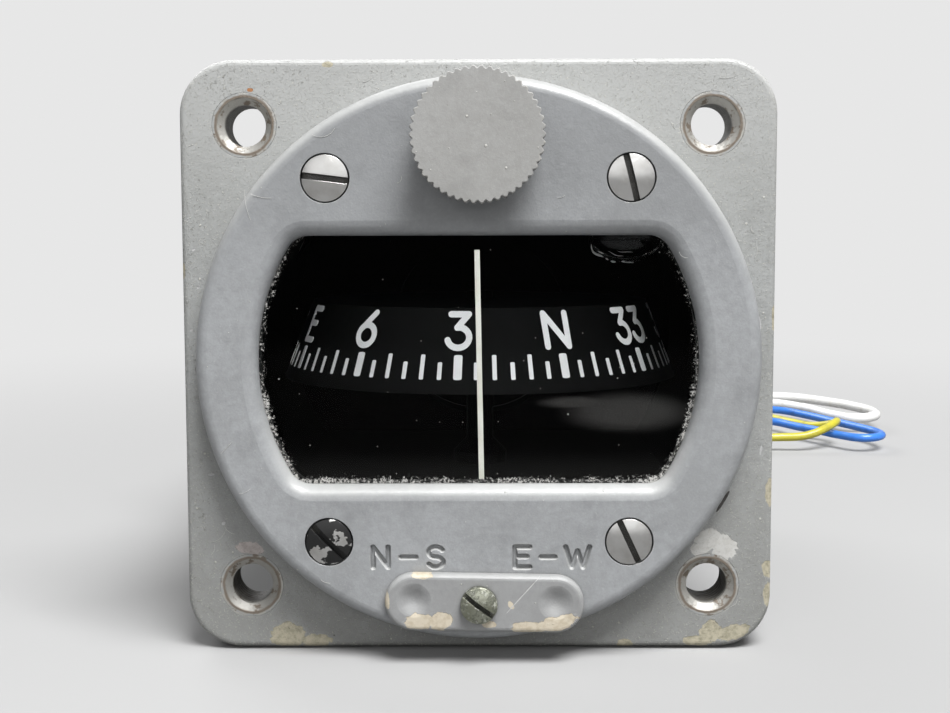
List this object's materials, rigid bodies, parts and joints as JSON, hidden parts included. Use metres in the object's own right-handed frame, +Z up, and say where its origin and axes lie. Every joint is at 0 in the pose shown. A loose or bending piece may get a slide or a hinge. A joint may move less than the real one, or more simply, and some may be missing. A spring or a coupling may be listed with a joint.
{
  "type": "aircraft compass",
  "caption": "Panel-mounted liquid magnetic compass: square flange, round bezel with a wide window, turning card, screw-in lamp and covered compensator.",
  "frame": {"origin": "centre of the panel screw pattern, on the front face of the flange", "axes": "+X to the viewer's right, +Y back into the case, +Z up; the dial faces -Y"},
  "size_m": [0.1041, 0.1522, 0.0604],
  "materials": {
    "case_paint": "satin grey enamel, worn at the edges",
    "bezel_paint": "satin blue-grey enamel",
    "cap_paint": "matt grey enamel",
    "window": "clear",
    "rubber": "matt black",
    "screw_steel": "nickel plated, dulled",
    "insert_steel": "dull, with paint left on",
    "lubber": "cream enamel",
    "card": "matt black with white marks",
    "float": "matt black",
    "magnet": "ground steel",
    "brass": "turned",
    "pivot_steel": "polished",
    "jewel": "polished",
    "bulb": "clear",
    "phenolic": "brown moulding",
    "light_window": "red, clear",
    "diaphragm": "thin pressed sheet",
    "fibre": "red fibre",
    "wire_white": "extruded insulation",
    "wire_blue": "extruded insulation",
    "wire_yellow": "extruded insulation",
    "copper": "bare stranded copper"
  },
  "bodies": {
    "case": {"case_body": "case_paint", "bezel": "bezel_paint", "window_glass": "window", "window_gasket": "rubber", "bezel_screws": "screw_steel", "mounting_inserts": "insert_steel", "lubber_line": "lubber", "jewel_post": "brass", "jewel": "jewel", "lamp_socket": "brass", "lamp_contact": "brass", "terminal_block": "phenolic", "light_window": "light_window", "cover_screw": "screw_steel", "compensator_frame": "brass", "wheel_pins": "pivot_steel", "rear_gasket": "rubber", "diaphragm": "diaphragm", "rear_cover": "case_paint", "rear_screws": "screw_steel", "filler_plug": "screw_steel", "filler_seal": "fibre", "wire_grommet": "rubber", "lead_white": "wire_white", "lead_blue": "wire_blue", "lead_yellow": "wire_yellow", "lead_tips": "copper"},
    "card": {"compass_card": "card", "float": "float", "card_magnets": "magnet", "pivot": "pivot_steel", "card_nut": "brass"},
    "lamp": {"lamp_bulb": "bulb", "lamp_base": "brass"},
    "lamp_cap": {"lamp_cap": "cap_paint"},
    "adjuster_cover": {"compensator_cover": "cap_paint"},
    "ns_adjuster": {"ns_spindle": "brass"},
    "ns_front": {"ns_front_wheel": "brass", "ns_front_magnet": "magnet"},
    "ns_rear": {"ns_rear_wheel": "brass", "ns_rear_magnet": "magnet"},
    "ew_adjuster": {"ew_spindle": "brass"},
    "ew_front": {"ew_front_wheel": "brass", "ew_front_magnet": "magnet"},
    "ew_rear": {"ew_rear_wheel": "brass", "ew_rear_magnet": "magnet"}
  },
  "joints": [
    {"name": "card_turn", "type": "hinge", "parent": "case", "child": "card", "pos_m": [0, 0.025, 0], "axis": [0, 0, 1], "continuous": true},
    {"name": "lamp_slide", "type": "slide", "parent": "case", "child": "lamp", "axis": [0, -1, 0], "range_m": [0, 0.00481]},
    {"name": "lamp_cap_turn", "type": "hinge", "parent": "lamp", "child": "lamp_cap", "pos_m": [0, 0, 0.0219], "axis": [0, -1, 0], "range_deg": [0, 2160]},
    {"name": "cover_swing", "type": "hinge", "parent": "case", "child": "adjuster_cover", "pos_m": [0, -0.00465, -0.0242], "axis": [0, 1, 0], "range_deg": [-90, 90]},
    {"name": "ns_adjust", "type": "hinge", "parent": "case", "child": "ns_adjuster", "pos_m": [-0.0071, 0, -0.0229], "axis": [0, 1, 0], "range_deg": [-220, 220]},
    {"name": "ns_front_turn", "type": "hinge", "parent": "case", "child": "ns_front", "pos_m": [-0.0071, 0.00775, -0.0229], "axis": [0, 0, 1], "range_deg": [-90, 90]},
    {"name": "ns_rear_turn", "type": "hinge", "parent": "case", "child": "ns_rear", "pos_m": [-0.0071, 0.01835, -0.0229], "axis": [0, 0, 1], "range_deg": [-90, 90]},
    {"name": "ew_adjust", "type": "hinge", "parent": "case", "child": "ew_adjuster", "pos_m": [0.0071, 0, -0.0229], "axis": [0, 1, 0], "range_deg": [-220, 220]},
    {"name": "ew_front_turn", "type": "hinge", "parent": "case", "child": "ew_front", "pos_m": [0.0071, 0.00775, -0.0229], "axis": [0, 0, 1], "range_deg": [-90, 90]},
    {"name": "ew_rear_turn", "type": "hinge", "parent": "case", "child": "ew_rear", "pos_m": [0.0071, 0.01835, -0.0229], "axis": [0, 0, 1], "range_deg": [-90, 90]}
  ],
  "couplings": [
    {"joint": "lamp_slide", "follows": "lamp_cap_turn", "m_per_rad": 0.00012732},
    {"joint": "ns_front_turn", "follows": "ns_adjust", "ratio": -0.4},
    {"joint": "ns_rear_turn", "follows": "ns_adjust", "ratio": 0.4},
    {"joint": "ew_front_turn", "follows": "ew_adjust", "ratio": -0.4},
    {"joint": "ew_rear_turn", "follows": "ew_adjust", "ratio": 0.4}
  ]
}
